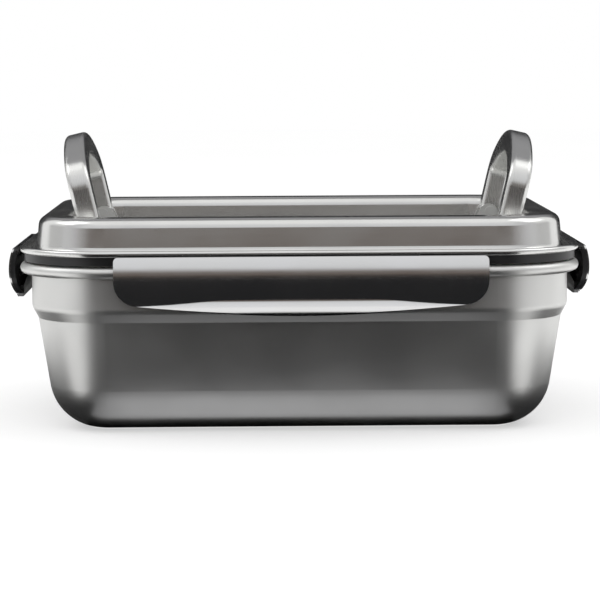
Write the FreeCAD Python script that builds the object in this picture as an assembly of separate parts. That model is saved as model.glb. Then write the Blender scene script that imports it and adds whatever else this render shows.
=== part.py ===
import FreeCAD, Part
import math
import os

# Stainless steel lunch box: a deep drawn box, a pressed lid held by four snap latches, and two handles that
# fold down into the lid. Millimetres, +Z up, origin at the middle of the base, front towards -Y.

# Box
BOX_LENGTH = 260.0  # over the rim, left to right
BOX_WIDTH = 182.0  # over the rim, front to back
CORNER_RADIUS = 41.0  # of the rim's outer edge, seen from above
RIM_HEIGHT = 78.2  # top of the rim above the table
STEEL = 0.8  # sheet of the box, the lid and the latch faces
RIM_REACH = 5.2  # rim's outer edge beyond the wall
RIM_BEAD = 5.4  # diameter of the rolled edge
RIM_BEND = 2.4  # radius where the wall turns out into the rim, on the food side
RIM_CURL = 205.0  # degrees that the edge is rolled through
STEP_DROP = 20.7  # top of the stacking step below the rim
STEP_HEIGHT = 5.0
STEP_INSET = 2.7
STEP_ROUND = 4.0  # where the wall turns in to the step, inside
STEP_CREASE = 1.8  # where the step turns down to the lower wall, inside
WALL_DRAFT = 9.0  # degrees, below the step
BASE_RADIUS = 24.0  # rounding from the wall into the base, outside
BASE_CORNER = 2.0  # least plan radius left on the flat of the base

# Lid
SEAT_GAP = 0.2  # gasket above the rim
FRAME_GAP = 0.5  # frame's outer wall above the rim
FRAME_HEIGHT = 3.9  # of the outer wall
FRAME_INSET = 1.8  # outer wall behind the rim's outer edge
FRAME_WALL = 1.4
FRAME_WEB = 1.6
FRAME_EDGE = 0.4  # rounding of its edges
GROOVE_WIDTH = 3.4  # holds the gasket
PLUG_DEPTH = 3.0  # frame's inner wall below the rim's top
GASKET_EDGE = 1.0
HEM_WIDTH = 3.4  # rolled edge of the lid
HEM_HEIGHT = 3.0
HEM_ROUND = 1.3
FLANGE_FILLET = 3.5
RIDGE_HEIGHT = 16.9  # crest above the underside of the lid's flange
RIDGE_FOOT = 8.3  # foot of the ridge behind the lid's edge
RIDGE_TAPER = 1.6  # how far the outer side leans in
RIDGE_WIDTH = 14.9  # crest, between the lines of its two sides
RIDGE_OUTER_RADIUS = 4.6
RIDGE_INNER_RADIUS = 4.5
WELL_TAPER = 0.7  # how far the well's wall leans out
WELL_DEPTH = 13.0
WELL_FILLET = 3.0
WELL_OVERLAP = 1.0  # flat of the floor that belongs to the pressed ring

# Latches
LATCH_END_GAP = 5.0  # from the end of a latch to where the rim's corner starts
LATCH_REACH = 6.3  # belly of a latch beyond the rim
LATCH_BELLY_DROP = 5.0  # belly below the rim's top
LATCH_CURVE = 28.0  # radius of the bowed face
LATCH_CAP = 1.5  # top of the face above the hinge axis
LATCH_HEIGHT = 22.2
LATCH_CORNER = 11.0  # lower corners
LATCH_TOP_CORNER = 2.0
LATCH_WALL = 2.2  # moulding behind the face
LIP_END = 10.0  # from the end of a latch to the end of its finger lip
LIP_RISE = 3.6  # face's arched lower edge above the latch's lower corners
LIP_DROP = 3.4  # lip's edge below those corners
LIP_CURVE = 6.7  # radius that the lip is curled to
LIP_NECK = 2.9  # where the lip starts, beyond the rim
LIP_TIP = 6.9  # how far the lip curls out beyond the rim
LIP_BACKING = 1.7  # moulding behind the lip
LIP_FOOT = 4.0  # height of the moulding's foot above the lip
HINGE_REACH = 2.35  # hinge axis beyond the rim
HINGE_DROP = 0.9  # hinge axis below the lid's flange
HINGE_RADIUS = 1.35
HINGE_PIN = 1.3  # diameter
HINGE_END = 4.0  # pin's end inside the latch's end
PIN_FIT = 0.02  # held tight
RUNNING_FIT = 0.06  # turns freely
KNUCKLE_WIDTH = 12.0
KNUCKLE_PLACE = 0.28  # of the latch's length, each side of its middle
KNUCKLE_WEB = 1.4
KNUCKLE_GAP = 0.4
NOTCH_DEPTH = 3.0  # below the hinge axis
BEAD_GAP = 0.5  # snap bead to the rim's edge and underside, latch hanging
BEAD_HEIGHT = 4.5
BEAD_NOSE = 1.2
BEAD_END = 16.0  # from the latch's end to the bead's end

# Handles
HANDLE_SPAN = 98.0  # across the loop, front to back
HANDLE_RISE = 43.0  # pivot to the top of the loop
ARCH_RISE = 25.0  # of the curved part of the loop
SHOULDER_RADIUS = 16.0  # outside, where the arch turns down into the legs
HANDLE_THICK = 10.5
HANDLE_DEPTH = 11.0  # of the bar, in the loop's plane
HANDLE_EDGE = 2.2
HANDLE_LEAN = 13.0  # degrees outwards when raised
HANDLE_STOP_GAP = 0.5  # raised handle to the ridge that stops it
FOOT_EDGE = 1.0
PIVOT_PIN = 3.5  # diameter
PIVOT_HEAD = 6.0
PIVOT_HEAD_HEIGHT = 1.0
BRACKET_SHEET = 1.2
BRACKET_GAP = 0.3  # foot to bracket
BRACKET_FRONT = 9.0  # base plate beyond the pivot, towards the middle of the lid
EAR_RADIUS = 4.0

# Heights and places that follow
FRAME_BOTTOM = RIM_HEIGHT + FRAME_GAP
FLANGE = FRAME_BOTTOM + FRAME_HEIGHT
CREST = FLANGE + RIDGE_HEIGHT
WELL_FLOOR = CREST - WELL_DEPTH
RIM_BOTTOM = RIM_HEIGHT - RIM_BEAD
HINGE_HEIGHT = FLANGE - HINGE_DROP
LATCH_TOP = HINGE_HEIGHT + LATCH_CAP
LATCH_BOTTOM = LATCH_TOP - LATCH_HEIGHT
BELLY = RIM_HEIGHT - LATCH_BELLY_DROP
BELLY_CENTRE = LATCH_REACH - LATCH_CURVE
LIP_CENTRE = LIP_NECK + LIP_CURVE
LIP_LEVEL = LATCH_BOTTOM + LIP_RISE - STEEL
PIVOT_HEIGHT = WELL_FLOOR + BRACKET_SHEET + BRACKET_GAP + HANDLE_THICK / 2
RIDGE_OUTER = -RIDGE_FOOT - RIDGE_TAPER
RIDGE_INNER = RIDGE_OUTER - RIDGE_WIDTH
WELL_EDGE = RIDGE_INNER - WELL_TAPER

UP = FreeCAD.Vector(0, 0, 1)
ALONG = FreeCAD.Vector(0, 1, 0)
OUT = FreeCAD.Vector(1, 0, 0)
ORIGIN = FreeCAD.Vector(0, 0, 0)
SIDES = {"right": 0, "back": 90, "left": 180, "front": 270}
FAR = 400.0  # longer than anything here, for cutting tools
TOUCHING = 1e-5  # surfaces this close meet, where a piece is joined from tangent forms


# Profiles: x is the distance out from the rim's outer edge, z the height


def rounded(corners, closed=False):
    """Edges through (x, z, radius) corners, each corner rounded by its own radius."""
    points = [FreeCAD.Vector(x, 0, z) for x, z, _ in corners]
    edges = []
    ends = []
    for i, (_, _, radius) in enumerate(corners):
        here = points[i]
        at_end = not closed and i in (0, len(points) - 1)
        if at_end or radius == 0:
            ends.append((here, here))
            continue
        back = (points[i - 1] - here).normalize()
        ahead = (points[(i + 1) % len(points)] - here).normalize()
        half = back.getAngle(ahead) / 2
        trim = radius / math.tan(half)
        middle = (back + ahead).normalize() * (radius / math.sin(half) - radius)
        ends.append((here + back * trim, here + ahead * trim))
        edges.append(Part.Arc(ends[-1][0], here + middle, ends[-1][1]).toShape())
    for i in range(len(points) if closed else len(points) - 1):
        start = ends[i][1]
        end = ends[(i + 1) % len(points)][0]
        if start.distanceToPoint(end) > 1e-6:
            edges.append(Part.LineSegment(start, end).toShape())
    return Part.__sortEdges__(edges)


def closed_face(corners):
    return Part.Face(Part.Wire(rounded(corners, closed=True)))


def sheet(edges, thickness):
    """Face of a sheet that lies to the right of an open path, as seen from the front."""
    return Part.Wire(edges).makeOffset2D(-thickness, 0, True, True, False)


# Plan of the box: straight sides joined by quarter turns


def half_run(angle):
    """Half the straight length of the side that faces this way."""
    across = BOX_WIDTH if angle % 180 == 0 else BOX_LENGTH
    return across / 2 - CORNER_RADIUS


def edge_distance(angle):
    """Middle of the box to the rim's outer edge on the side that faces this way."""
    return (BOX_LENGTH if angle % 180 == 0 else BOX_WIDTH) / 2


def on_side(shape, angle):
    """Put a shape made in the profile's frame, with its length along y, on one side of the box."""
    moved = shape.copy()
    moved.translate(OUT * edge_distance(angle))
    moved.rotate(ORIGIN, UP, angle)
    return moved


def around(profile):
    """Carry a profile all round the box."""
    runs = []
    for angle in SIDES.values():
        half = half_run(angle)
        straight = profile.copy()
        straight.translate(ALONG * -half)
        runs.append(on_side(straight.extrude(ALONG * 2 * half), angle))
        turn = profile.copy()
        turn.translate(ALONG * half)
        centre = FreeCAD.Vector(-CORNER_RADIUS, half, 0)
        runs.append(on_side(turn.revolve(centre, UP, 90), angle))
    return runs[0].multiFuse(runs[1:])


def flat(inset, bottom, thickness):
    """Flat plate with the box's plan, its edge this far inside the rim's outer edge."""
    x = BOX_LENGTH / 2 - inset
    y = BOX_WIDTH / 2 - inset
    radius = CORNER_RADIUS - inset
    plan = closed_face([(x, y, radius), (-x, y, radius), (-x, -y, radius), (x, -y, radius)])
    plan.rotate(ORIGIN, OUT, -90)
    plan.translate(UP * bottom)
    return plan.extrude(UP * thickness)


def one_solid(shape):
    """The single solid of a finished piece, with split faces joined."""
    whole = shape.removeSplitter()
    if len(whole.Solids) != 1 or not whole.isValid():
        raise ValueError("a piece is not one sound solid: %d solids" % len(whole.Solids))
    return whole.Solids[0]


def rod(radius, length, x, z):
    """Cylinder along y, centred on y = 0."""
    start = FreeCAD.Vector(x, -length / 2, z)
    return Part.makeCylinder(radius, length, start, ALONG)


def block(x0, x1, width, z0, z1, middle=0.0):
    corner = FreeCAD.Vector(x0, middle - width / 2, z0)
    return Part.makeBox(x1 - x0, width, z1 - z0, corner)


# Box and lid


def box_body():
    """Drawn shell: flat base, tapered wall, stacking step, upper band and rolled rim."""
    band = -RIM_REACH - STEEL
    low = band - STEP_INSET
    step_top = RIM_HEIGHT - STEP_DROP
    step_bottom = step_top - STEP_HEIGHT
    slope = math.radians(WALL_DRAFT)
    corner = low - (step_bottom - STEEL) * math.tan(slope)
    half = math.radians(90 + WALL_DRAFT) / 2
    widest = (CORNER_RADIUS + corner - BASE_CORNER) * math.tan(half)
    inner_radius = min(BASE_RADIUS - STEEL, widest)
    base_end = corner - inner_radius / math.tan(half)
    bead = RIM_BEAD / 2
    bead_x = -bead
    bead_z = RIM_HEIGHT - bead
    path = rounded(
        [
            (base_end, STEEL, 0),
            (corner, STEEL, inner_radius),
            (low, step_bottom, STEP_CREASE),
            (band, step_top, STEP_ROUND),
            (band, RIM_HEIGHT, RIM_BEND),
            (bead_x, RIM_HEIGHT, 0),
        ]
    )

    def on_bead(turn):
        angle = math.radians(90 - turn)
        return FreeCAD.Vector(bead_x + bead * math.cos(angle), 0, bead_z + bead * math.sin(angle))

    curl = Part.Arc(on_bead(0), on_bead(RIM_CURL / 2), on_bead(RIM_CURL)).toShape()
    wall = around(sheet(path + [curl], STEEL))
    return one_solid(wall.fuse(flat(-base_end, 0, STEEL)))


def lid_pan():
    """Pressed lid: rolled edge, flange, raised ridge and sunk well."""
    floor = WELL_FLOOR - STEEL
    floor_end = WELL_EDGE - WELL_FILLET - WELL_OVERLAP
    path = rounded(
        [
            (-HEM_WIDTH / 2, FLANGE, 0),
            (-RIDGE_FOOT, FLANGE, FLANGE_FILLET + STEEL),
            (RIDGE_OUTER, CREST - STEEL, RIDGE_OUTER_RADIUS - STEEL),
            (RIDGE_INNER, CREST - STEEL, RIDGE_INNER_RADIUS - STEEL),
            (WELL_EDGE, floor, WELL_FILLET + STEEL),
            (floor_end, floor, 0),
        ]
    )
    ring = around(sheet(path, STEEL))
    hem_top = FLANGE + HEM_HEIGHT
    hem = around(
        closed_face(
            [
                (0, FLANGE, HEM_ROUND),
                (0, hem_top, HEM_ROUND),
                (-HEM_WIDTH, hem_top, HEM_ROUND),
                (-HEM_WIDTH, FLANGE, 0),
            ]
        )
    )
    return one_solid(ring.multiFuse([hem, flat(-floor_end, floor, STEEL)]))


def lid_frame():
    """Channel under the lid's edge, open downwards for the gasket, with hinge knuckles on each side."""
    outer = -FRAME_INSET
    groove = outer - FRAME_WALL
    plug = groove - GROOVE_WIDTH
    inner = plug - FRAME_WALL
    web = FLANGE - FRAME_WEB
    plug_end = RIM_HEIGHT - PLUG_DEPTH
    channel = around(
        closed_face(
            [
                (outer, FLANGE, 0),
                (outer, FRAME_BOTTOM, FRAME_EDGE),
                (groove, FRAME_BOTTOM, FRAME_EDGE),
                (groove, web, 0),
                (plug, web, 0),
                (plug, plug_end, FRAME_EDGE),
                (inner, plug_end, FRAME_EDGE),
                (inner, FLANGE, 0),
            ]
        )
    )
    knuckles = []
    for angle in SIDES.values():
        for middle in knuckle_places(angle):
            barrel = rod(HINGE_RADIUS, KNUCKLE_WIDTH, HINGE_REACH, HINGE_HEIGHT)
            barrel.translate(ALONG * middle)
            low = HINGE_HEIGHT - KNUCKLE_WEB / 2
            web_plate = block(outer - FRAME_WALL / 2, HINGE_REACH, KNUCKLE_WIDTH, low, low + KNUCKLE_WEB, middle)
            bore = rod(HINGE_PIN / 2 + PIN_FIT, FAR, HINGE_REACH, HINGE_HEIGHT)
            knuckles.append(on_side(barrel.fuse(web_plate).cut(bore), angle))
    return one_solid(channel.multiFuse(knuckles))


def lid_gasket():
    outer = -FRAME_INSET - FRAME_WALL
    inner = outer - GROOVE_WIDTH
    top = FLANGE - FRAME_WEB
    bottom = RIM_HEIGHT + SEAT_GAP
    section = [(outer, top, 0), (outer, bottom, GASKET_EDGE), (inner, bottom, GASKET_EDGE), (inner, top, 0)]
    return one_solid(around(closed_face(section)))


# Latches, made in the profile's frame with their length along y


def latch_length(angle):
    return 2 * (half_run(angle) - LATCH_END_GAP)


def knuckle_places(angle):
    return [side * KNUCKLE_PLACE * latch_length(angle) for side in (-1, 1)]


def face_reach(depth, height):
    """How far out the bowed face stands at a height, this deep below its outer skin."""
    radius = LATCH_CURVE - depth
    return BELLY_CENTRE + math.sqrt(radius**2 - (height - BELLY) ** 2)


def bowed(near, far, length):
    """Bowed slab between two depths below the outer skin, trimmed to the latch's outline."""
    slab = rod(LATCH_CURVE - near, FAR, BELLY_CENTRE, BELLY)
    slab = slab.cut(rod(LATCH_CURVE - far, FAR, BELLY_CENTRE, BELLY))
    y = length / 2
    outline = closed_face(
        [
            (-y, LATCH_TOP, LATCH_TOP_CORNER),
            (y, LATCH_TOP, LATCH_TOP_CORNER),
            (y, LATCH_BOTTOM, LATCH_CORNER),
            (-y, LATCH_BOTTOM, LATCH_CORNER),
        ]
    )
    outline.rotate(ORIGIN, UP, 90)
    return slab.common(outline.extrude(OUT * FAR))


def arched(length, lift, rise, level):
    """Prism along x between a level and an arc that spans the finger lip."""
    half = length / 2 - LIP_END
    x = -FAR / 2
    ends = [FreeCAD.Vector(x, y, LATCH_BOTTOM + lift) for y in (-half, half)]
    crown = FreeCAD.Vector(x, 0, LATCH_BOTTOM + lift + rise)
    arc = Part.Arc(ends[0], crown, ends[1]).toShape()
    corners = [FreeCAD.Vector(x, y, level) for y in (half, -half)]
    rest = Part.makePolygon([ends[1], *corners, ends[0]]).Edges
    return Part.Face(Part.Wire([arc] + rest)).extrude(OUT * FAR)


def under_arch(length, lift=0.0):
    """All below the arch that the face's lower edge is cut to."""
    return arched(length, lift, LIP_RISE, LATCH_BOTTOM - 3 * LIP_DROP)


def curl(near, far):
    """Ring between two depths below the skin of the curled finger lip."""
    outer, inner = [rod(LIP_CURVE + depth, FAR, LIP_CENTRE, LIP_LEVEL) for depth in (far, near)]
    return outer.cut(inner)


def finger_lip(near, far, length, lift, drop):
    """The curl trimmed to a lens: from the arch above it down to its own curved edge."""
    lens = under_arch(length, lift).common(arched(length, 0, -drop, LATCH_TOP))
    return curl(near, far).common(lens).common(block(-FAR, LIP_TIP, FAR, 0, FAR))


def latch_plate(length):
    """Formed steel face: the bowed band, turned in under its arched lower edge and out again into the lip."""
    band = bowed(0, STEEL, length).cut(under_arch(length))
    ledge = under_arch(length, STEEL).cut(under_arch(length))
    for radius, x, z in ((LATCH_CURVE, BELLY_CENTRE, BELLY), (LIP_CURVE + STEEL, LIP_CENTRE, LIP_LEVEL)):
        ledge = ledge.common(rod(radius, FAR, x, z))
    return one_solid(band.multiFuse([ledge, finger_lip(0, STEEL, length, STEEL, LIP_DROP)]))


def latch_moulding(length, plate, places):
    """Moulded backing with hinge barrels, notches for the frame's knuckles, snap bead, foot and lip backing."""
    slab = bowed(STEEL, STEEL + LATCH_WALL, length).cut(under_arch(length))
    barrel = rod(HINGE_RADIUS, length - HINGE_END, HINGE_REACH, HINGE_HEIGHT)
    backing = STEEL + LIP_BACKING
    foot = under_arch(length, LIP_FOOT).cut(under_arch(length))
    foot = foot.common(rod(LATCH_CURVE - STEEL, FAR, BELLY_CENTRE, BELLY))
    foot = foot.common(block(LIP_NECK - backing, FAR, FAR, 0, FAR))
    behind = finger_lip(STEEL, backing, length, LIP_FOOT / 2, LIP_DROP + STEEL)
    whole = slab.multiFuse([barrel, foot, behind, snap_bead(length)], TOUCHING)
    for middle in places:
        width = KNUCKLE_WIDTH + 2 * KNUCKLE_GAP
        whole = whole.cut(block(-FAR, FAR, width, HINGE_HEIGHT - NOTCH_DEPTH, CREST, middle))
    bore = rod(HINGE_PIN / 2 + RUNNING_FIT, FAR, HINGE_REACH, HINGE_HEIGHT)
    return one_solid(whole.cut(bore).cut(plate))


def snap_bead(length):
    """Rib inside the latch that snaps below the rim when the latch is pressed in."""
    top = RIM_BOTTOM - BEAD_GAP
    root = face_reach(STEEL + LATCH_WALL / 2, top)
    section = closed_face(
        [
            (root, top, 0),
            (BEAD_GAP, top, BEAD_NOSE / 4),
            (BEAD_GAP, top - BEAD_NOSE, BEAD_NOSE / 4),
            (root, top - BEAD_HEIGHT, 0),
        ]
    )
    half = length / 2 - BEAD_END
    section.translate(ALONG * -half)
    return section.extrude(ALONG * 2 * half)


def hinge_pin(length):
    return rod(HINGE_PIN / 2, length - 2 * HINGE_END, HINGE_REACH, HINGE_HEIGHT)


# Handles, made standing upright over the pivot with the loop across y


def foot_places():
    middle = (HANDLE_SPAN - HANDLE_DEPTH) / 2
    return {"front": -middle, "rear": middle}


def pivot_x():
    """Pivot of the right handle, set so that the leaning handle stops just short of the ridge."""
    lean = math.radians(HANDLE_LEAN)
    stop = CREST - RIDGE_INNER_RADIUS
    share = (CREST - stop) / WELL_DEPTH
    wall = BOX_LENGTH / 2 + RIDGE_INNER + share * (WELL_EDGE - RIDGE_INNER) - STEEL
    reach = (stop - PIVOT_HEIGHT) * math.tan(lean) + HANDLE_THICK / 2 / math.cos(lean)
    return wall - reach - HANDLE_STOP_GAP


def well_flat_x():
    """Where the flat of the well's floor ends and its fillet starts, on the right."""
    half = (math.pi / 2 + math.atan(WELL_TAPER / WELL_DEPTH)) / 2
    return BOX_LENGTH / 2 + WELL_EDGE - (WELL_FILLET + STEEL) / math.tan(half)


def handle():
    """Three-centred arch on two straight legs, with a round foot at each pivot."""
    x = HANDLE_THICK / 2
    half = HANDLE_SPAN / 2
    leg = HANDLE_RISE - ARCH_RISE
    shoulder_y = half - SHOULDER_RADIUS
    top_radius = (shoulder_y**2 + ARCH_RISE**2 - SHOULDER_RADIUS**2) / 2 / (ARCH_RISE - SHOULDER_RADIUS)
    top_half = math.degrees(math.asin(shoulder_y / (top_radius - SHOULDER_RADIUS)))
    section = closed_face(
        [
            (-x, 0, HANDLE_EDGE),
            (x, 0, HANDLE_EDGE),
            (x, HANDLE_DEPTH, HANDLE_EDGE),
            (-x, HANDLE_DEPTH, HANDLE_EDGE),
        ]
    )
    section.rotate(ORIGIN, OUT, -90)
    section.translate(FreeCAD.Vector(0, half - HANDLE_DEPTH, leg))
    shoulder_centre = FreeCAD.Vector(0, shoulder_y, leg)
    top_centre = FreeCAD.Vector(0, 0, HANDLE_RISE - top_radius)
    turned = section.copy()
    turned.rotate(shoulder_centre, OUT, 90 - top_half)
    pieces = [turned.revolve(top_centre, OUT, 2 * top_half)]
    for turn in (0, 180):
        shoulder = section.revolve(shoulder_centre, OUT, 90 - top_half)
        limb = section.extrude(UP * -leg)
        for stretch in (shoulder, limb):
            stretch.rotate(ORIGIN, UP, turn)
            pieces.append(stretch)
    for middle in foot_places().values():
        foot = rod(x, HANDLE_DEPTH, 0, 0)
        foot = foot.makeFillet(FOOT_EDGE, [e for e in foot.Edges if e.Curve.TypeId == "Part::GeomCircle"])
        foot.translate(ALONG * middle)
        pieces.append(foot)
    loop = pieces[0].multiFuse(pieces[1:])
    return one_solid(loop.cut(rod(PIVOT_PIN / 2 + RUNNING_FIT, FAR, 0, 0)))


def bracket():
    """U-shaped bracket: a base plate with an ear on each side of the handle's foot."""
    base = WELL_FLOOR - PIVOT_HEIGHT
    back = well_flat_x() - pivot_x() - BRACKET_GAP
    gap = HANDLE_DEPTH + 2 * BRACKET_GAP
    width = gap + 2 * BRACKET_SHEET
    side = closed_face(
        [
            (-BRACKET_FRONT, base, 0),
            (back, base, 0),
            (EAR_RADIUS, EAR_RADIUS, EAR_RADIUS * 0.98),
            (-EAR_RADIUS, EAR_RADIUS, EAR_RADIUS * 0.98),
        ]
    )
    side.translate(ALONG * -width / 2)
    whole = side.extrude(ALONG * width)
    whole = whole.cut(block(-FAR, FAR, gap, base + BRACKET_SHEET, FAR))
    return one_solid(whole.cut(rod(PIVOT_PIN / 2 + PIN_FIT, FAR, 0, 0)))


def pivot_pin():
    """Pin with a low head outside each ear."""
    width = HANDLE_DEPTH + 2 * (BRACKET_GAP + BRACKET_SHEET)
    pin = rod(PIVOT_PIN / 2, width + 2 * PIVOT_HEAD_HEIGHT, 0, 0)
    heads = []
    for side in (-1, 1):
        head = rod(PIVOT_HEAD / 2, PIVOT_HEAD_HEIGHT, 0, 0)
        head.translate(ALONG * side * (width + PIVOT_HEAD_HEIGHT) / 2)
        heads.append(head)
    return one_solid(pin.multiFuse(heads))


def at_pivot(shape, side, along):
    """Put a piece made for the right handle at a pivot of the left or right one."""
    moved = shape.copy()
    moved.translate(FreeCAD.Vector(pivot_x(), 0, PIVOT_HEIGHT))
    if side == "left":
        moved.rotate(ORIGIN, UP, 180)
    moved.translate(ALONG * along)
    return moved


def pieces():
    """Every piece by its name, in place."""
    made = {"box_body": box_body(), "lid_pan": lid_pan(), "lid_frame": lid_frame(), "lid_gasket": lid_gasket()}
    for side, angle in SIDES.items():
        length = latch_length(angle)
        plate = latch_plate(length)
        moulding = latch_moulding(length, plate, knuckle_places(angle))
        made[side + "_latch_plate"] = on_side(plate, angle)
        made[side + "_latch"] = on_side(moulding, angle)
        made[side + "_latch_pin"] = on_side(hinge_pin(length), angle)
    raised = handle()
    raised.rotate(ORIGIN, ALONG, HANDLE_LEAN)
    for side in ("left", "right"):
        made[side + "_handle"] = at_pivot(raised, side, 0)
        for end, along in foot_places().items():
            made["%s_%s_bracket" % (side, end)] = at_pivot(bracket(), side, along)
            made["%s_%s_pivot_pin" % (side, end)] = at_pivot(pivot_pin(), side, along)
    return made


def main():
    os.makedirs("parts", exist_ok=True)
    for name, shape in pieces().items():
        shape.exportStep("parts/%s.step" % name)
        print("%-26s %9.0f mm3" % (name, shape.Volume))


main()
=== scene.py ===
"""Looks of a stainless steel lunch box: its finishes, its gasket and the studio round it."""

import math

import bmesh
import bpy
from mathutils import Euler, Matrix, Vector


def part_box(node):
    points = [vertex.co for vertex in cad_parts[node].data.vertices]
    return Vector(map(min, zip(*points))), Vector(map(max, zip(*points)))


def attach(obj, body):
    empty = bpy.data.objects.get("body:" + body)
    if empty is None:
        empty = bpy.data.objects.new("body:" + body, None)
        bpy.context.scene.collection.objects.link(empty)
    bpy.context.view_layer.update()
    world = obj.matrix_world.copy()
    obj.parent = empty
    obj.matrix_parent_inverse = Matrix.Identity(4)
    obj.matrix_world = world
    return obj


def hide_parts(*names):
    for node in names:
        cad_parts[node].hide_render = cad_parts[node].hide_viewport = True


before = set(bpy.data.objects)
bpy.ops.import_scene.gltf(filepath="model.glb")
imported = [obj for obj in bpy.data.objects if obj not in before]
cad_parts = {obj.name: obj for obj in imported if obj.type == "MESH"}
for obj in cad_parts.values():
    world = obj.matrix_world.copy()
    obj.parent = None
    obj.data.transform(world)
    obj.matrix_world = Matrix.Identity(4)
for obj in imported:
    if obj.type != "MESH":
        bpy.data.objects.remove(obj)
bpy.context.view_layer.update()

bl_info = {
    "name": "Lunch Box",
    "version": (1, 0, 0),
    "blender": (4, 5, 0),
    "location": "View3D > Sidebar > Lunch Box",
    "description": "Dresses a stainless steel lunch box and sets up its studio",
    "category": "Object",
}

MM = 0.001
SIDES = ("front", "back", "left", "right")
CORNERS = [side + end for side in ("left", "right") for end in ("_front", "_rear")]

# Underside of the gasket: places across it in half widths, and how far they are lifted in lips
LIP_CUTS = 5  # points between the edges of the underside
LIP_LIFTS = ((1, 0.7), (1 / 3, 0.15), (0, 1))
LIP_REACH = 0.05  # a point this close to a place, in half widths, belongs to it

EDGE_TURN = math.radians(25)  # edges that turn more than this are rounded
SMOOTH_TURN = math.radians(35)  # faces that turn less than this are shaded as one

# Patterns of the materials: sizes of their patches and grain, and what they add to the roughness
WIPED_PATCH = 28 * MM
RUBBED_PATCH = 14 * MM
HANDLED_PATCH = 18 * MM
PLASTIC_GRAIN = 0.6 * MM
SILICONE_GRAIN = 0.4 * MM
FLOOR_PATCH = 1 / 3
BRUSHED_POLISH = (-0.015, 0.02)
WIPED_POLISH = (-0.02, 0.04)

# Mats on the floor, in metres from the middle of the box
MAT_HALF = 0.124  # half the width at the box
MAT_SPREAD = 7.4  # times as wide at the far edge
MAT_NEAR = 0.106
MAT_FAR = 1.4
MAT_LIFT = 1 * MM  # above the floor
STRIP_NEAR = 0.07  # pale strips reach from here to the mats
STRIP_FADE = (0.075, 0.118)  # where a strip turns dark towards its ends
SIDE_MAT_NEAR = 0.1
SIDE_MAT_FAR = 0.21
SIDE_MAT_FRONT = -0.085
SIDE_MAT_BACK = 0.1
SIDE_MAT_LIFT = 1.2 * MM
# Black card under the box: painted shade, standing in for the box's shadow on the floor where the steel
# mirrors it
BASE_SHADE_CARD_HALF = (0.108, 0.07)
BASE_SHADE_CARD_LIFT = 0.5 * MM

# Card above and behind the box
OVERHEAD_HALF = 1.2
OVERHEAD_NEAR = 0.15
OVERHEAD_FAR = 1.7
OVERHEAD_HEIGHT = 1.5

# Curved screens: share of the height above the floor, and the colour there
FRONT_STOPS = (
    (0, "#2a2826"),
    (0.06, "#35312e"),
    (0.09, "#6c625c"),
    (0.18, "#6c635d"),
    (0.28, "#e4e5e7"),
    (1, "#f2f2f4"),
)
BACK_STOPS = ((0, "#2a2a2b"), (0.36, "#323233"), (0.5, "#8c8c8e"), (1, "#a8a8aa"))
SIDE_STOPS = (
    (0, "#e6e6e6"),
    (0.06, "#cecece"),
    (0.14, "#c2c2c2"),
    (0.3, "#d8d8d8"),
    (0.5, "#ffffff"),
    (1, "#ffffff"),
)

# Soft boxes; the side ones are at both sides of the box
OVERHEAD_LAMP_PLACE = (0, -0.45, 1.4)
OVERHEAD_LAMP_SIZE = (1.4, 0.8)
SIDE_LAMP_PLACE = (0.9, -0.1, 1.1)
SIDE_LAMP_SIZE = (0.8, 0.8)
LAMP_AIM = (0, 0, 0.05)  # point that the lamps face


def linear(code):
    """Linear RGB of an sRGB hex value."""
    shares = [int(code[i : i + 2], 16) / 255 for i in (1, 3, 5)]
    return [s / 12.92 if s <= 0.04045 else ((s + 0.055) / 1.055) ** 2.4 for s in shares]


def colour(label, code, text):
    return bpy.props.FloatVectorProperty(
        name=label, description=text, default=linear(code), subtype="COLOR", size=3, min=0, max=1
    )


def length(label, value, text):
    return bpy.props.FloatProperty(
        name=label, description=text, default=value, subtype="DISTANCE", unit="LENGTH"
    )


def angle(label, degrees, text):
    return bpy.props.FloatProperty(
        name=label, description=text, default=math.radians(degrees), subtype="ANGLE", unit="ROTATION"
    )


def share(label, value, text):
    return bpy.props.FloatProperty(
        name=label, description=text, default=value, subtype="FACTOR", min=0, max=1
    )


class LunchBoxFinish(bpy.types.PropertyGroup):
    """Colours and polish of the materials."""

    steel: colour("Steel", "#e2e2e0", "Satin stainless steel of the box, lid and handles")
    steel_shade: colour("Steel shade", "#d6d6d4", "Slightly darker patches of the satin steel")
    polished: colour("Polished steel", "#e3e3e4", "Buffed stainless steel of the latch faces")
    plastic: colour("Plastic", "#161617", "Moulded polypropylene of the frame and latches")
    plastic_worn: colour("Plastic, worn", "#232324", "Rubbed and dusty patches of the plastic")
    silicone: colour("Silicone", "#b9bab5", "Gasket")
    silicone_dark: colour("Silicone, dark", "#a3a49f", "Handled patches of the gasket")
    satin: share("Satin", 0.4, "Roughness of the drawn box")
    pressed: share("Pressed", 0.19, "Roughness of the pressed lid")
    drawn: share("Drawn", 0.24, "Roughness of the drawn handle bars")
    buffed: share("Buffed", 0.15, "Roughness of the polished latch faces")


class LunchBoxGasket(bpy.types.PropertyGroup):
    """Sizes of the modelled gasket."""

    rim_corner: length("Rim corner", 41 * MM, "Plan radius of the rim's corners")
    width: length("Width", 3.4 * MM, "Of the gasket, across its groove")
    lip: length("Lip", 0.9 * MM, "How far its two sealing lips stand down")
    edge: length("Edge", 0.14 * MM, "Rounding of its edges")
    corner_steps: bpy.props.IntProperty(
        name="Corner steps", description="Rings in each corner", default=20, min=4
    )


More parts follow.
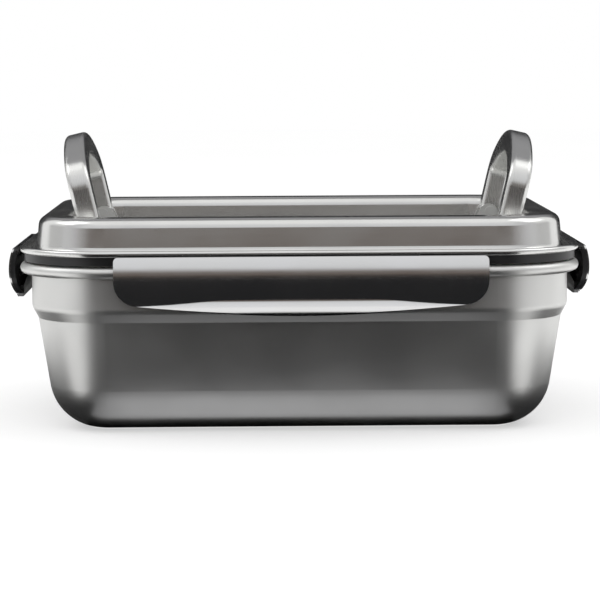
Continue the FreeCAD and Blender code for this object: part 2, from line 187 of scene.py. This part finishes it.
class LunchBoxStage(bpy.types.PropertyGroup):
    """Camera and studio."""

    distance: length("Distance", 1.103, "Camera to the point that it looks at")
    elevation: angle("Elevation", 6.3, "Camera above the horizon")
    azimuth: angle("Azimuth", -0.9, "Camera round the box, to the right of straight ahead")
    roll: angle("Roll", -0.3, "Camera turned about its own axis")
    lens: bpy.props.FloatProperty(
        name="Lens",
        description="Focal length in millimetres",
        default=135.0,
        subtype="DISTANCE_CAMERA",
        unit="CAMERA",
    )
    aim: bpy.props.FloatVectorProperty(
        name="Aim",
        description="Point at the middle of the picture",
        default=(0.0008, 0, 0.0532),
        subtype="XYZ",
    )
    lamp_power: bpy.props.FloatProperty(
        name="Lamp power", description="Of each soft box", default=2.2, min=0, unit="POWER"
    )
    floor: colour("Floor", "#fcfcfc", "Plain pale floor")
    sky: colour("Surround", "#ffffff", "Soft white surround")
    shadow_lift: share("Shadow lift", 0.5, "How much of the box's shadow on the floor is lifted to white")
    dark: colour("Dark mat", "#262627", "Mats in front of and beside the box, and ends of the strips")
    dim: colour("Dim mat", "#3a3a3b", "Mat behind the box")
    pale: colour("Pale strip", "#b0b0b2", "Strips of floor just in front of and behind the box")
    side_grey: colour("Side grey", "#d4d4d6", "Colour of the front screen towards the sides")
    overhead_grey: colour("Grey card", "#9a9a9c", "Card above and behind the box")
    floor_radius: length("Floor radius", 4.0, "Of the round floor")
    screen_radius: length("Screen radius", 1.45, "Of the curved screens")
    screen_height: length("Screen height", 1.6, "Of the curved screens")
    front_half: angle("Front screen", 74, "Half of the angle that the front screen spans")
    front_fade: angle("Front fade", 24, "Where the front screen starts to fade to the side grey")
    back_half: angle("Back screen", 48, "Half of the angle that the back screen spans")
    side_half: angle("Side screens", 16, "Half of the angle that each side screen spans")


def finish():
    return bpy.context.scene.lunch_box_finish


def gasket():
    return bpy.context.scene.lunch_box_gasket


def stage():
    return bpy.context.scene.lunch_box_stage


# Materials


def add(tree, kind, inputs=None, **settings):
    """One node with its settings; each input is given a value or the socket that feeds it."""
    made = tree.nodes.new(kind)
    for name, value in settings.items():
        setattr(made, name, value)
    for name, value in (inputs or {}).items():
        socket = made.inputs[name]
        if isinstance(value, bpy.types.NodeSocket):
            tree.links.new(value, socket)
        elif getattr(socket, "type", "") == "RGBA":
            socket.default_value = (*value, 1)
        else:
            socket.default_value = value
    return made


def new_material(name):
    """An empty node material, its output and its object coordinates."""
    made = bpy.data.materials.new(name)
    made.use_nodes = True
    tree = made.node_tree
    tree.nodes.clear()
    out = tree.nodes.new("ShaderNodeOutputMaterial")
    place = tree.nodes.new("ShaderNodeTexCoord").outputs["Object"]
    return made, tree, out, place


def marks(x, y, z):
    """Scale of a noise along each axis, from the size of its marks."""
    return 1 / x, 1 / y, 1 / z


def brushed_steel(name, base, shade, rough, grain):
    """Stainless sheet, belt-brushed: lines along one direction, some smoother and some rougher, with faint
    cloudy patches from wiping. The lines are drawn coarser than real ones, so that they show."""
    made, tree, out, place = new_material(name)
    lines = add(tree, "ShaderNodeMapping", {"Vector": place, "Scale": grain})
    brushing = add(
        tree,
        "ShaderNodeTexNoise",
        {"Vector": lines.outputs[0], "Scale": 1, "Detail": 3, "Roughness": 0.6},
    )
    patches = add(tree, "ShaderNodeTexNoise", {"Vector": place, "Scale": 1 / WIPED_PATCH, "Detail": 2})
    tint = add(
        tree,
        "ShaderNodeMix",
        {"Factor": patches.outputs["Fac"], "A": base, "B": shade},
        data_type="RGBA",
    )
    brushed = add(
        tree,
        "ShaderNodeMapRange",
        {
            "Value": brushing.outputs["Fac"],
            "From Min": 0.3,
            "From Max": 0.7,
            "To Min": rough + BRUSHED_POLISH[0],
            "To Max": rough + BRUSHED_POLISH[1],
        },
    )
    wiped = add(
        tree,
        "ShaderNodeMapRange",
        {
            "Value": patches.outputs["Fac"],
            "From Min": 0.35,
            "From Max": 0.7,
            "To Min": WIPED_POLISH[0],
            "To Max": WIPED_POLISH[1],
        },
    )
    roughness = add(tree, "ShaderNodeMath", {0: brushed.outputs[0], 1: wiped.outputs[0]}, operation="ADD")
    relief = add(
        tree,
        "ShaderNodeBump",
        {"Height": brushing.outputs["Fac"], "Strength": 0.004, "Distance": 0.03 * MM},
    )
    skin = add(
        tree,
        "ShaderNodeBsdfPrincipled",
        {
            "Base Color": tint.outputs["Result"],
            "Roughness": roughness.outputs[0],
            "Normal": relief.outputs[0],
            "Metallic": 1,
        },
    )
    tree.links.new(skin.outputs[0], out.inputs["Surface"])
    return made


def satin_steel(name, rough, grain):
    """The brushed steel of every piece but the latch faces."""
    return brushed_steel(name, finish().steel, finish().steel_shade, rough, grain)


def moulded_plastic(name):
    """Polypropylene, injection moulded with a spark-eroded grain: half gloss, rubbed a little lighter in
    patches. The grain is drawn coarser than a real one, so that it shows."""
    made, tree, out, place = new_material(name)
    grain = add(tree, "ShaderNodeTexNoise", {"Vector": place, "Scale": 1 / PLASTIC_GRAIN, "Detail": 2})
    rubbed = add(tree, "ShaderNodeTexNoise", {"Vector": place, "Scale": 1 / RUBBED_PATCH, "Detail": 4})
    worn = add(
        tree, "ShaderNodeMapRange", {"Value": rubbed.outputs["Fac"], "From Min": 0.45, "From Max": 0.75}
    )
    tint = add(
        tree,
        "ShaderNodeMix",
        {"Factor": worn.outputs[0], "A": finish().plastic, "B": finish().plastic_worn},
        data_type="RGBA",
    )
    roughness = add(
        tree, "ShaderNodeMapRange", {"Value": rubbed.outputs["Fac"], "To Min": 0.24, "To Max": 0.42}
    )
    relief = add(
        tree,
        "ShaderNodeBump",
        {"Height": grain.outputs["Fac"], "Strength": 0.1, "Distance": 0.05 * MM},
    )
    skin = add(
        tree,
        "ShaderNodeBsdfPrincipled",
        {
            "Base Color": tint.outputs["Result"],
            "Roughness": roughness.outputs[0],
            "Normal": relief.outputs[0],
            "IOR": 1.49,
        },
    )
    tree.links.new(skin.outputs[0], out.inputs["Surface"])
    return made


def moulded_silicone(name):
    """Food silicone, compression moulded: matte, faintly translucent, darker where it is handled. Its grain
    is drawn coarser than a real one too."""
    made, tree, out, place = new_material(name)
    handled = add(tree, "ShaderNodeTexNoise", {"Vector": place, "Scale": 1 / HANDLED_PATCH, "Detail": 3})
    tint = add(
        tree,
        "ShaderNodeMix",
        {"Factor": handled.outputs["Fac"], "A": finish().silicone, "B": finish().silicone_dark},
        data_type="RGBA",
    )
    grain = add(tree, "ShaderNodeTexNoise", {"Vector": place, "Scale": 1 / SILICONE_GRAIN, "Detail": 1})
    relief = add(
        tree,
        "ShaderNodeBump",
        {"Height": grain.outputs["Fac"], "Strength": 0.15, "Distance": 0.04 * MM},
    )
    skin = add(
        tree,
        "ShaderNodeBsdfPrincipled",
        {
            "Base Color": tint.outputs["Result"],
            "Roughness": 0.55,
            "Normal": relief.outputs[0],
            "IOR": 1.41,
            "Subsurface Weight": 0.15,
            "Subsurface Scale": 1 * MM,
        },
    )
    tree.links.new(skin.outputs[0], out.inputs["Surface"])
    return made


def dress(node_name, material):
    """Give a CAD node its finish."""
    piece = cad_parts[node_name]
    piece.data.materials.clear()
    piece.data.materials.append(material)


# Pieces


def pick(piece, wanted):
    """Select the points of a piece in edit mode whose place passes a test."""
    bpy.ops.mesh.select_all(action="DESELECT")
    shape = bmesh.from_edit_mesh(piece.data)
    for point in shape.verts:
        point.select = wanted(point.co)
    shape.select_flush_mode()
    bmesh.update_edit_mesh(piece.data)


class LUNCHBOX_OT_box(bpy.types.Operator):
    """Finish the drawn steel box"""

    bl_idname = "lunchbox.box"
    bl_label = "Box"

    def execute(self, context):
        around = marks(40 * MM, 40 * MM, 0.25 * MM)
        dress("box_body", satin_steel("box_satin_steel", finish().satin, around))
        return {"FINISHED"}


class LUNCHBOX_OT_lid(bpy.types.Operator):
    """Finish the pressed lid and its frame"""

    bl_idname = "lunchbox.lid"
    bl_label = "Lid"

    def execute(self, context):
        along = marks(40 * MM, 0.25 * MM, 0.25 * MM)
        dress("lid_pan", satin_steel("lid_satin_steel", finish().pressed, along))
        dress("lid_frame", moulded_plastic("frame_moulded_plastic"))
        return {"FINISHED"}


class LUNCHBOX_OT_gasket(bpy.types.Operator):
    """Model the silicone gasket: a ring with two sealing lips, carried round the rim"""

    bl_idname = "lunchbox.gasket"
    bl_label = "Gasket"

    def execute(self, context):
        low, high = (Vector(corner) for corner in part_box("lid_gasket"))
        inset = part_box("box_body")[1][0] - high.x
        corner = gasket().rim_corner - inset
        turn_x, turn_y = high.x - corner, high.y - corner
        start = Vector((high.x - gasket().width / 2, -turn_y, (low.z + high.z) / 2))
        piece = self.section(start, high.z - low.z)
        middles = ((turn_x, turn_y), (-turn_x, turn_y), (-turn_x, -turn_y), (turn_x, -turn_y))
        runs = ((0, 2 * turn_y), (-2 * turn_x, 0), (0, -2 * turn_y), (2 * turn_x, 0))
        steps = gasket().corner_steps
        bpy.ops.mesh.select_all(action="SELECT")
        for (x, y), run in zip(middles, runs):
            bpy.ops.mesh.extrude_edges_move(TRANSFORM_OT_translate={"value": (*run, 0)})
            bpy.ops.mesh.spin(steps=steps, angle=-math.pi / 2, center=(x, y, 0), axis=(0, 0, 1))
        bpy.ops.mesh.select_all(action="SELECT")
        bpy.ops.mesh.remove_doubles(threshold=0.01 * MM)
        bpy.ops.mesh.normals_make_consistent(inside=False)
        bpy.ops.object.mode_set(mode="OBJECT")
        rounding = piece.modifiers.new("edges", "BEVEL")
        rounding.width = gasket().edge
        rounding.segments = 2
        rounding.angle_limit = EDGE_TURN
        bpy.ops.object.modifier_apply(modifier=rounding.name)
        bpy.ops.object.shade_smooth_by_angle(angle=SMOOTH_TURN)
        piece.data.materials.append(moulded_silicone("gasket_silicone"))
        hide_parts("lid_gasket")
        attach(piece, "lid")
        return {"FINISHED"}

    def section(self, middle, height):
        """The gasket's outline where the right side starts, left in edit mode as a loop of edges."""
        bpy.ops.object.select_all(action="DESELECT")
        bpy.ops.mesh.primitive_plane_add(size=1, location=middle, rotation=(math.pi / 2, 0, 0))
        piece = bpy.context.object
        piece.name = "gasket"
        bpy.ops.object.transform_apply(location=True, rotation=True)
        bpy.ops.object.mode_set(mode="EDIT")
        bpy.ops.mesh.select_all(action="SELECT")
        bpy.ops.transform.resize(value=(gasket().width, 1, height))
        bpy.ops.mesh.delete(type="ONLY_FACE")
        pick(piece, lambda place: place.z < middle.z)
        bpy.ops.mesh.subdivide(number_cuts=LIP_CUTS)
        for across, lift in LIP_LIFTS:
            pick(piece, lambda place: self.below(place, middle, across))
            bpy.ops.transform.translate(value=(0, 0, gasket().lip * lift))
        return piece

    def below(self, place, middle, across):
        """Whether a point is on the underside, at a place across it in half widths."""
        reach = abs(place.x - middle.x) / (gasket().width / 2)
        return place.z < middle.z and abs(reach - across) < LIP_REACH


class LUNCHBOX_OT_latches(bpy.types.Operator):
    """Finish the four latches"""

    bl_idname = "lunchbox.latches"
    bl_label = "Latches"

    def execute(self, context):
        along = marks(60 * MM, 60 * MM, 0.2 * MM)
        face = brushed_steel("latch_buffed_steel", finish().polished, finish().steel, finish().buffed, along)
        moulding = moulded_plastic("latch_moulded_plastic")
        pin = satin_steel("latch_pin_steel", finish().satin, along)
        for side in SIDES:
            dress(side + "_latch_plate", face)
            dress(side + "_latch", moulding)
            dress(side + "_latch_pin", pin)
        return {"FINISHED"}


class LUNCHBOX_OT_handles(bpy.types.Operator):
    """Finish the handles, their brackets and pivot pins"""

    bl_idname = "lunchbox.handles"
    bl_label = "Handles"

    def execute(self, context):
        along = marks(0.3 * MM, 30 * MM, 30 * MM)
        bar = satin_steel("handle_satin_steel", finish().drawn, along)
        sheet = satin_steel("bracket_steel", finish().satin, along)
        pin = satin_steel("pivot_pin_steel", finish().satin, along)
        for side in ("left", "right"):
            dress(side + "_handle", bar)
        for corner in CORNERS:
            dress(corner + "_bracket", sheet)
            dress(corner + "_pivot_pin", pin)
        return {"FINISHED"}


# Studio


def glow(name, tint, ends=None):
    """Card that gives off its own colour, so that the lamps don't change what the steel mirrors.
    Where ends gives a colour and two distances, it fades to that colour between them, left and right."""
    made, tree, out, place = new_material(name)
    shown = faded(tree, place, tint, *ends) if ends else tint
    skin = add(tree, "ShaderNodeEmission", {"Color": shown})
    tree.links.new(skin.outputs[0], out.inputs["Surface"])
    return made


def faded(tree, place, tint, far_tint, start, end):
    """A colour that turns into another one with the distance to the left or right of the middle."""
    across = add(tree, "ShaderNodeSeparateXYZ", {0: place})
    reach = add(tree, "ShaderNodeMath", {0: across.outputs["X"]}, operation="ABSOLUTE")
    amount = add(
        tree,
        "ShaderNodeMapRange",
        {"Value": reach.outputs[0], "From Min": start, "From Max": end},
        interpolation_type="SMOOTHSTEP",
    )
    shown = add(
        tree, "ShaderNodeMix", {"Factor": amount.outputs[0], "A": tint, "B": far_tint}, data_type="RGBA"
    )
    return shown.outputs["Result"]


def mirrored_only(piece):
    """Mark a stage piece that is seen in reflections and by nothing else."""
    piece.visible_camera = False
    piece.visible_diffuse = False
    piece.visible_shadow = False
    piece.visible_transmission = False


def card(name, corner, opposite, height, material, spread=1):
    """A level stage card between two corners, its edge away from the box spread wider."""
    (left, right), (front, back) = (sorted(ends) for ends in zip(corner, opposite))
    bpy.ops.mesh.primitive_plane_add(size=1)
    made = bpy.context.object
    made.name = name
    middle = Matrix.Translation(((left + right) / 2, (front + back) / 2, height))
    made.data.transform(middle @ Matrix.Diagonal((right - left, back - front, 1, 1)))
    far = max(front, back, key=abs)
    for point in made.data.vertices:
        if abs(point.co.y - far) < MM:
            point.co.x *= spread
    made.data.materials.append(material)
    mirrored_only(made)


class LUNCHBOX_OT_stage(bpy.types.Operator):
    """Set up the floor, the soft light, the cards, the screens and the camera"""

    bl_idname = "lunchbox.stage"
    bl_label = "Studio"

    def execute(self, context):
        self.surround(context)
        self.floor()
        self.cards()
        self.screens()
        self.lamps(context)
        self.camera(context)
        return {"FINISHED"}

    def surround(self, context):
        world = bpy.data.worlds.new("white_surround")
        world.use_nodes = True
        context.scene.world = world
        background = world.node_tree.nodes["Background"]
        background.inputs["Color"].default_value = (*stage().sky, 1)
        background.inputs["Strength"].default_value = 1.0

    def floor(self):
        """A pale floor. Where it is seen straight or mirrored, the box's shadow on it is partly lifted."""
        made, tree, out, place = new_material("pale_floor")
        mottle = add(tree, "ShaderNodeTexNoise", {"Vector": place, "Scale": 1 / FLOOR_PATCH})
        tint = add(
            tree,
            "ShaderNodeMix",
            {"Factor": mottle.outputs["Fac"], "A": stage().floor, "B": stage().sky},
            data_type="RGBA",
        )
        skin = add(tree, "ShaderNodeBsdfDiffuse", {"Color": tint.outputs["Result"]})
        white = add(tree, "ShaderNodeEmission", {"Color": stage().sky})
        ray = add(tree, "ShaderNodeLightPath")
        seen = ray.outputs["Is Camera Ray"]
        for kind in ("Is Glossy Ray", "Is Transmission Ray"):
            either = add(tree, "ShaderNodeMath", {0: seen, 1: ray.outputs[kind]}, operation="MAXIMUM")
            seen = either.outputs[0]
        lift = add(tree, "ShaderNodeMath", {0: seen, 1: stage().shadow_lift}, operation="MULTIPLY")
        lifted = add(
            tree, "ShaderNodeMixShader", {0: lift.outputs[0], 1: skin.outputs[0], 2: white.outputs[0]}
        )
        tree.links.new(lifted.outputs[0], out.inputs["Surface"])
        bpy.ops.mesh.primitive_circle_add(vertices=96, radius=stage().floor_radius, fill_type="NGON")
        disc = bpy.context.object
        disc.name = "floor"
        disc.data.materials.append(made)

    def cards(self):
        """Mats that the sides of the box mirror, a black card below it as painted shade for the box's shadow
        on the floor, and grey above and behind.
        """
        dark = glow("dark_mat", stage().dark)
        dim = glow("dim_mat", stage().dim)
        # painted shade: a black glow under the box, mirrored in place of the box's shadow on the floor
        under_box_shade = glow("black_painted_shade", (0, 0, 0))
        grey = glow("grey_card", stage().overhead_grey)
        pale = glow("pale_mat", stage().pale, (stage().dark, *STRIP_FADE))
        for end, way, tint in (("front", -1, dark), ("back", 1, dim)):
            edge = (MAT_HALF, way * MAT_NEAR)
            card(end + "_mat", (-MAT_HALF, way * MAT_FAR), edge, MAT_LIFT, tint, MAT_SPREAD)
            card(end + "_strip", (-MAT_HALF, way * STRIP_NEAR), edge, MAT_LIFT, pale)
        for way in (-1, 1):
            near, far = (way * SIDE_MAT_NEAR, SIDE_MAT_FRONT), (way * SIDE_MAT_FAR, SIDE_MAT_BACK)
            card("side_mat", near, far, SIDE_MAT_LIFT, dark)
        # the card of painted shade under the box
        card("base_painted_shade", [-half for half in BASE_SHADE_CARD_HALF], BASE_SHADE_CARD_HALF, BASE_SHADE_CARD_LIFT, under_box_shade)
        near, far = (-OVERHEAD_HALF, OVERHEAD_NEAR), (OVERHEAD_HALF, OVERHEAD_FAR)
        card("overhead_card", near, far, OVERHEAD_HEIGHT, grey)

    def screens(self):
        """Curved screens in front, behind and at the sides, each shaded from the floor up."""
        self.screen("front_screen", (0, -1, 0), stage().front_half, FRONT_STOPS, stage().front_fade)
        self.screen("back_screen", (0, 1, 0), stage().back_half, BACK_STOPS)
        for way in (-1, 1):
            self.screen("side_screen", (way, 0, 0), stage().side_half, SIDE_STOPS)

    def screen(self, name, facing, half, stops, fade_from=None):
        """A screen that spans an angle to both sides of a direction. Where fade_from gives an angle, it fades
        to the side grey from there to its ends."""
        radius, height = stage().screen_radius, stage().screen_height
        made, tree, out, place = new_material(name)
        rise = add(tree, "ShaderNodeSeparateXYZ", {0: place})
        level = add(tree, "ShaderNodeMapRange", {"Value": rise.outputs["Z"], "From Max": height})
        ramp = add(tree, "ShaderNodeValToRGB", {"Fac": level.outputs[0]})
        elements = ramp.color_ramp.elements
        for position, code in stops[1:-1]:
            elements.new(position)
        for element, (position, code) in zip(elements, stops):
            element.position = position
            element.color = (*linear(code), 1)
        tint = ramp.outputs[0]
        if fade_from is not None:
            start, end = (radius * math.sin(turn) for turn in (fade_from, half))
            tint = faded(tree, place, tint, stage().side_grey, start, end)
        skin = add(tree, "ShaderNodeEmission", {"Color": tint})
        tree.links.new(skin.outputs[0], out.inputs["Surface"])
        bpy.ops.mesh.primitive_cylinder_add(
            vertices=128, radius=radius, depth=height, end_fill_type="NOTHING"
        )
        piece = bpy.context.object
        piece.name = name
        piece.data.transform(Matrix.Translation((0, 0, height / 2)))
        bpy.ops.object.mode_set(mode="EDIT")
        bpy.ops.mesh.select_all(action="SELECT")
        away = Vector(facing)
        bpy.ops.mesh.bisect(plane_co=away * radius * math.cos(half), plane_no=-away, clear_outer=True)
        bpy.ops.object.mode_set(mode="OBJECT")
        piece.data.materials.append(made)
        mirrored_only(piece)

    def lamps(self, context):
        """A soft box overhead, which the steel doesn't mirror, and one at each side."""
        overhead = self.lamp(context, "overhead", OVERHEAD_LAMP_PLACE, OVERHEAD_LAMP_SIZE)
        overhead.visible_glossy = False
        x, y, z = SIDE_LAMP_PLACE
        for way in (-1, 1):
            self.lamp(context, "side_light", (way * x, y, z), SIDE_LAMP_SIZE)

    def lamp(self, context, name, place, size):
        """A soft box that faces the lunch box."""
        light = bpy.data.lights.new(name, "AREA")
        light.shape = "RECTANGLE"
        light.size, light.size_y = size
        light.energy = stage().lamp_power
        made = bpy.data.objects.new(name, light)
        made.location = place
        made.rotation_euler = (Vector(LAMP_AIM) - Vector(place)).to_track_quat("-Z", "Y").to_euler()
        context.scene.collection.objects.link(made)
        return made

    def camera(self, context):
        view = stage()
        lens = bpy.data.cameras.new("camera")
        lens.lens = view.lens
        lens.sensor_width = 36
        lens.clip_end = 50
        made = bpy.data.objects.new("camera", lens)
        turn = Euler((math.pi / 2 - view.elevation, 0, view.azimuth)).to_matrix()
        made.rotation_euler = (turn @ Euler((0, 0, view.roll)).to_matrix()).to_euler()
        made.location = Vector(view.aim) + turn @ Vector((0, 0, view.distance))
        context.scene.collection.objects.link(made)
        context.scene.camera = made
        context.scene.view_settings.view_transform = "Standard"


class LUNCHBOX_PT_tools(bpy.types.Panel):
    bl_label = "Lunch Box"
    bl_space_type = "VIEW_3D"
    bl_region_type = "UI"
    bl_category = "Lunch Box"

    def draw(self, context):
        for made in OPERATORS:
            self.layout.operator(made.bl_idname)
        for group in (finish(), gasket(), stage()):
            for name in group.__annotations__:
                self.layout.prop(group, name)


OPERATORS = (
    LUNCHBOX_OT_box,
    LUNCHBOX_OT_lid,
    LUNCHBOX_OT_gasket,
    LUNCHBOX_OT_latches,
    LUNCHBOX_OT_handles,
    LUNCHBOX_OT_stage,
)
CLASSES = (LunchBoxFinish, LunchBoxGasket, LunchBoxStage, *OPERATORS, LUNCHBOX_PT_tools)


def register():
    for made in CLASSES:
        bpy.utils.register_class(made)
    bpy.types.Scene.lunch_box_finish = bpy.props.PointerProperty(type=LunchBoxFinish)
    bpy.types.Scene.lunch_box_gasket = bpy.props.PointerProperty(type=LunchBoxGasket)
    bpy.types.Scene.lunch_box_stage = bpy.props.PointerProperty(type=LunchBoxStage)


def unregister():
    del bpy.types.Scene.lunch_box_stage
    del bpy.types.Scene.lunch_box_gasket
    del bpy.types.Scene.lunch_box_finish
    for made in reversed(CLASSES):
        bpy.utils.unregister_class(made)


def main():
    register()
    bpy.ops.object.select_all(action="DESELECT")
    bpy.ops.lunchbox.box()
    bpy.ops.lunchbox.lid()
    bpy.ops.lunchbox.gasket()
    bpy.ops.lunchbox.latches()
    bpy.ops.lunchbox.handles()
    bpy.ops.lunchbox.stage()


if __name__ == "__main__":
    main()
